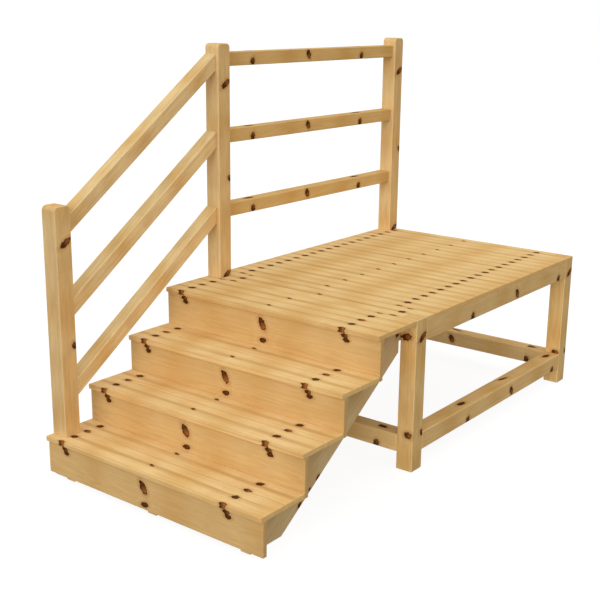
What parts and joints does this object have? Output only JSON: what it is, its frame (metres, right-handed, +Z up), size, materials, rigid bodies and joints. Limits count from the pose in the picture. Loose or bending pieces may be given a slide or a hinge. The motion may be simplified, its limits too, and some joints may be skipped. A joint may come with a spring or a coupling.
{
  "type": "mounting block",
  "caption": "Timber mounting block for horse riders: steps climb to a long slatted platform, with a post-and-rail handrail along one side.",
  "frame": {"origin": "on the ground, under the centre of the footprint", "axes": "+Z up, +Y the way the rider climbs, from the first step to the back of the platform, +X to the rider's right, away from the handrail"},
  "size_m": [1, 2.165, 1.505],
  "materials": {
    "post_pine": "planed softwood, clear satin oil",
    "sawn_pine": "sawn softwood, matt",
    "riser_pine": "planed softwood, clear satin oil",
    "tread_pine": "planed softwood boards, clear satin oil",
    "rail_pine": "planed softwood, clear satin oil",
    "frame_pine": "planed softwood, clear satin oil",
    "zinc_steel": "bright zinc plate"
  },
  "bodies": {
    "root": {"coach_bolt_lower": "zinc_steel", "coach_bolt_upper": "zinc_steel", "coach_nut_lower": "zinc_steel", "coach_nut_upper": "zinc_steel", "deck_joist_left": "sawn_pine", "deck_joist_right": "sawn_pine", "frame_rail_front": "frame_pine", "frame_rail_left": "frame_pine", "frame_rail_rear": "frame_pine", "frame_rail_right": "frame_pine", "leg_front_right": "post_pine", "leg_rear_right": "post_pine", "newel_post_lower": "post_pine", "platform_board_01": "tread_pine", "platform_board_02": "tread_pine", "platform_board_03": "tread_pine", "platform_board_04": "tread_pine", "platform_board_05": "tread_pine", "platform_board_06": "tread_pine", "platform_board_07": "tread_pine", "platform_board_08": "tread_pine", "platform_board_09": "tread_pine", "platform_board_10": "tread_pine", "platform_board_11": "tread_pine", "platform_board_12": "tread_pine", "platform_board_13": "tread_pine", "platform_post_front": "post_pine", "platform_post_rear": "post_pine", "platform_rail_bottom": "rail_pine", "platform_rail_middle": "rail_pine", "platform_rail_top": "rail_pine", "riser_1": "riser_pine", "riser_2": "riser_pine", "riser_3": "riser_pine", "riser_4": "riser_pine", "stair_rail_bottom": "rail_pine", "stair_rail_middle": "rail_pine", "stair_rail_top": "rail_pine", "stretcher_front": "frame_pine", "stretcher_left": "frame_pine", "stretcher_rear": "frame_pine", "stretcher_right": "frame_pine", "stringer_left": "sawn_pine", "stringer_middle": "sawn_pine", "stringer_right": "sawn_pine", "tread_1_front_board": "tread_pine", "tread_1_rear_board": "tread_pine", "tread_2_front_board": "tread_pine", "tread_2_rear_board": "tread_pine", "tread_3_front_board": "tread_pine", "tread_3_rear_board": "tread_pine"}
  },
  "joints": []
}
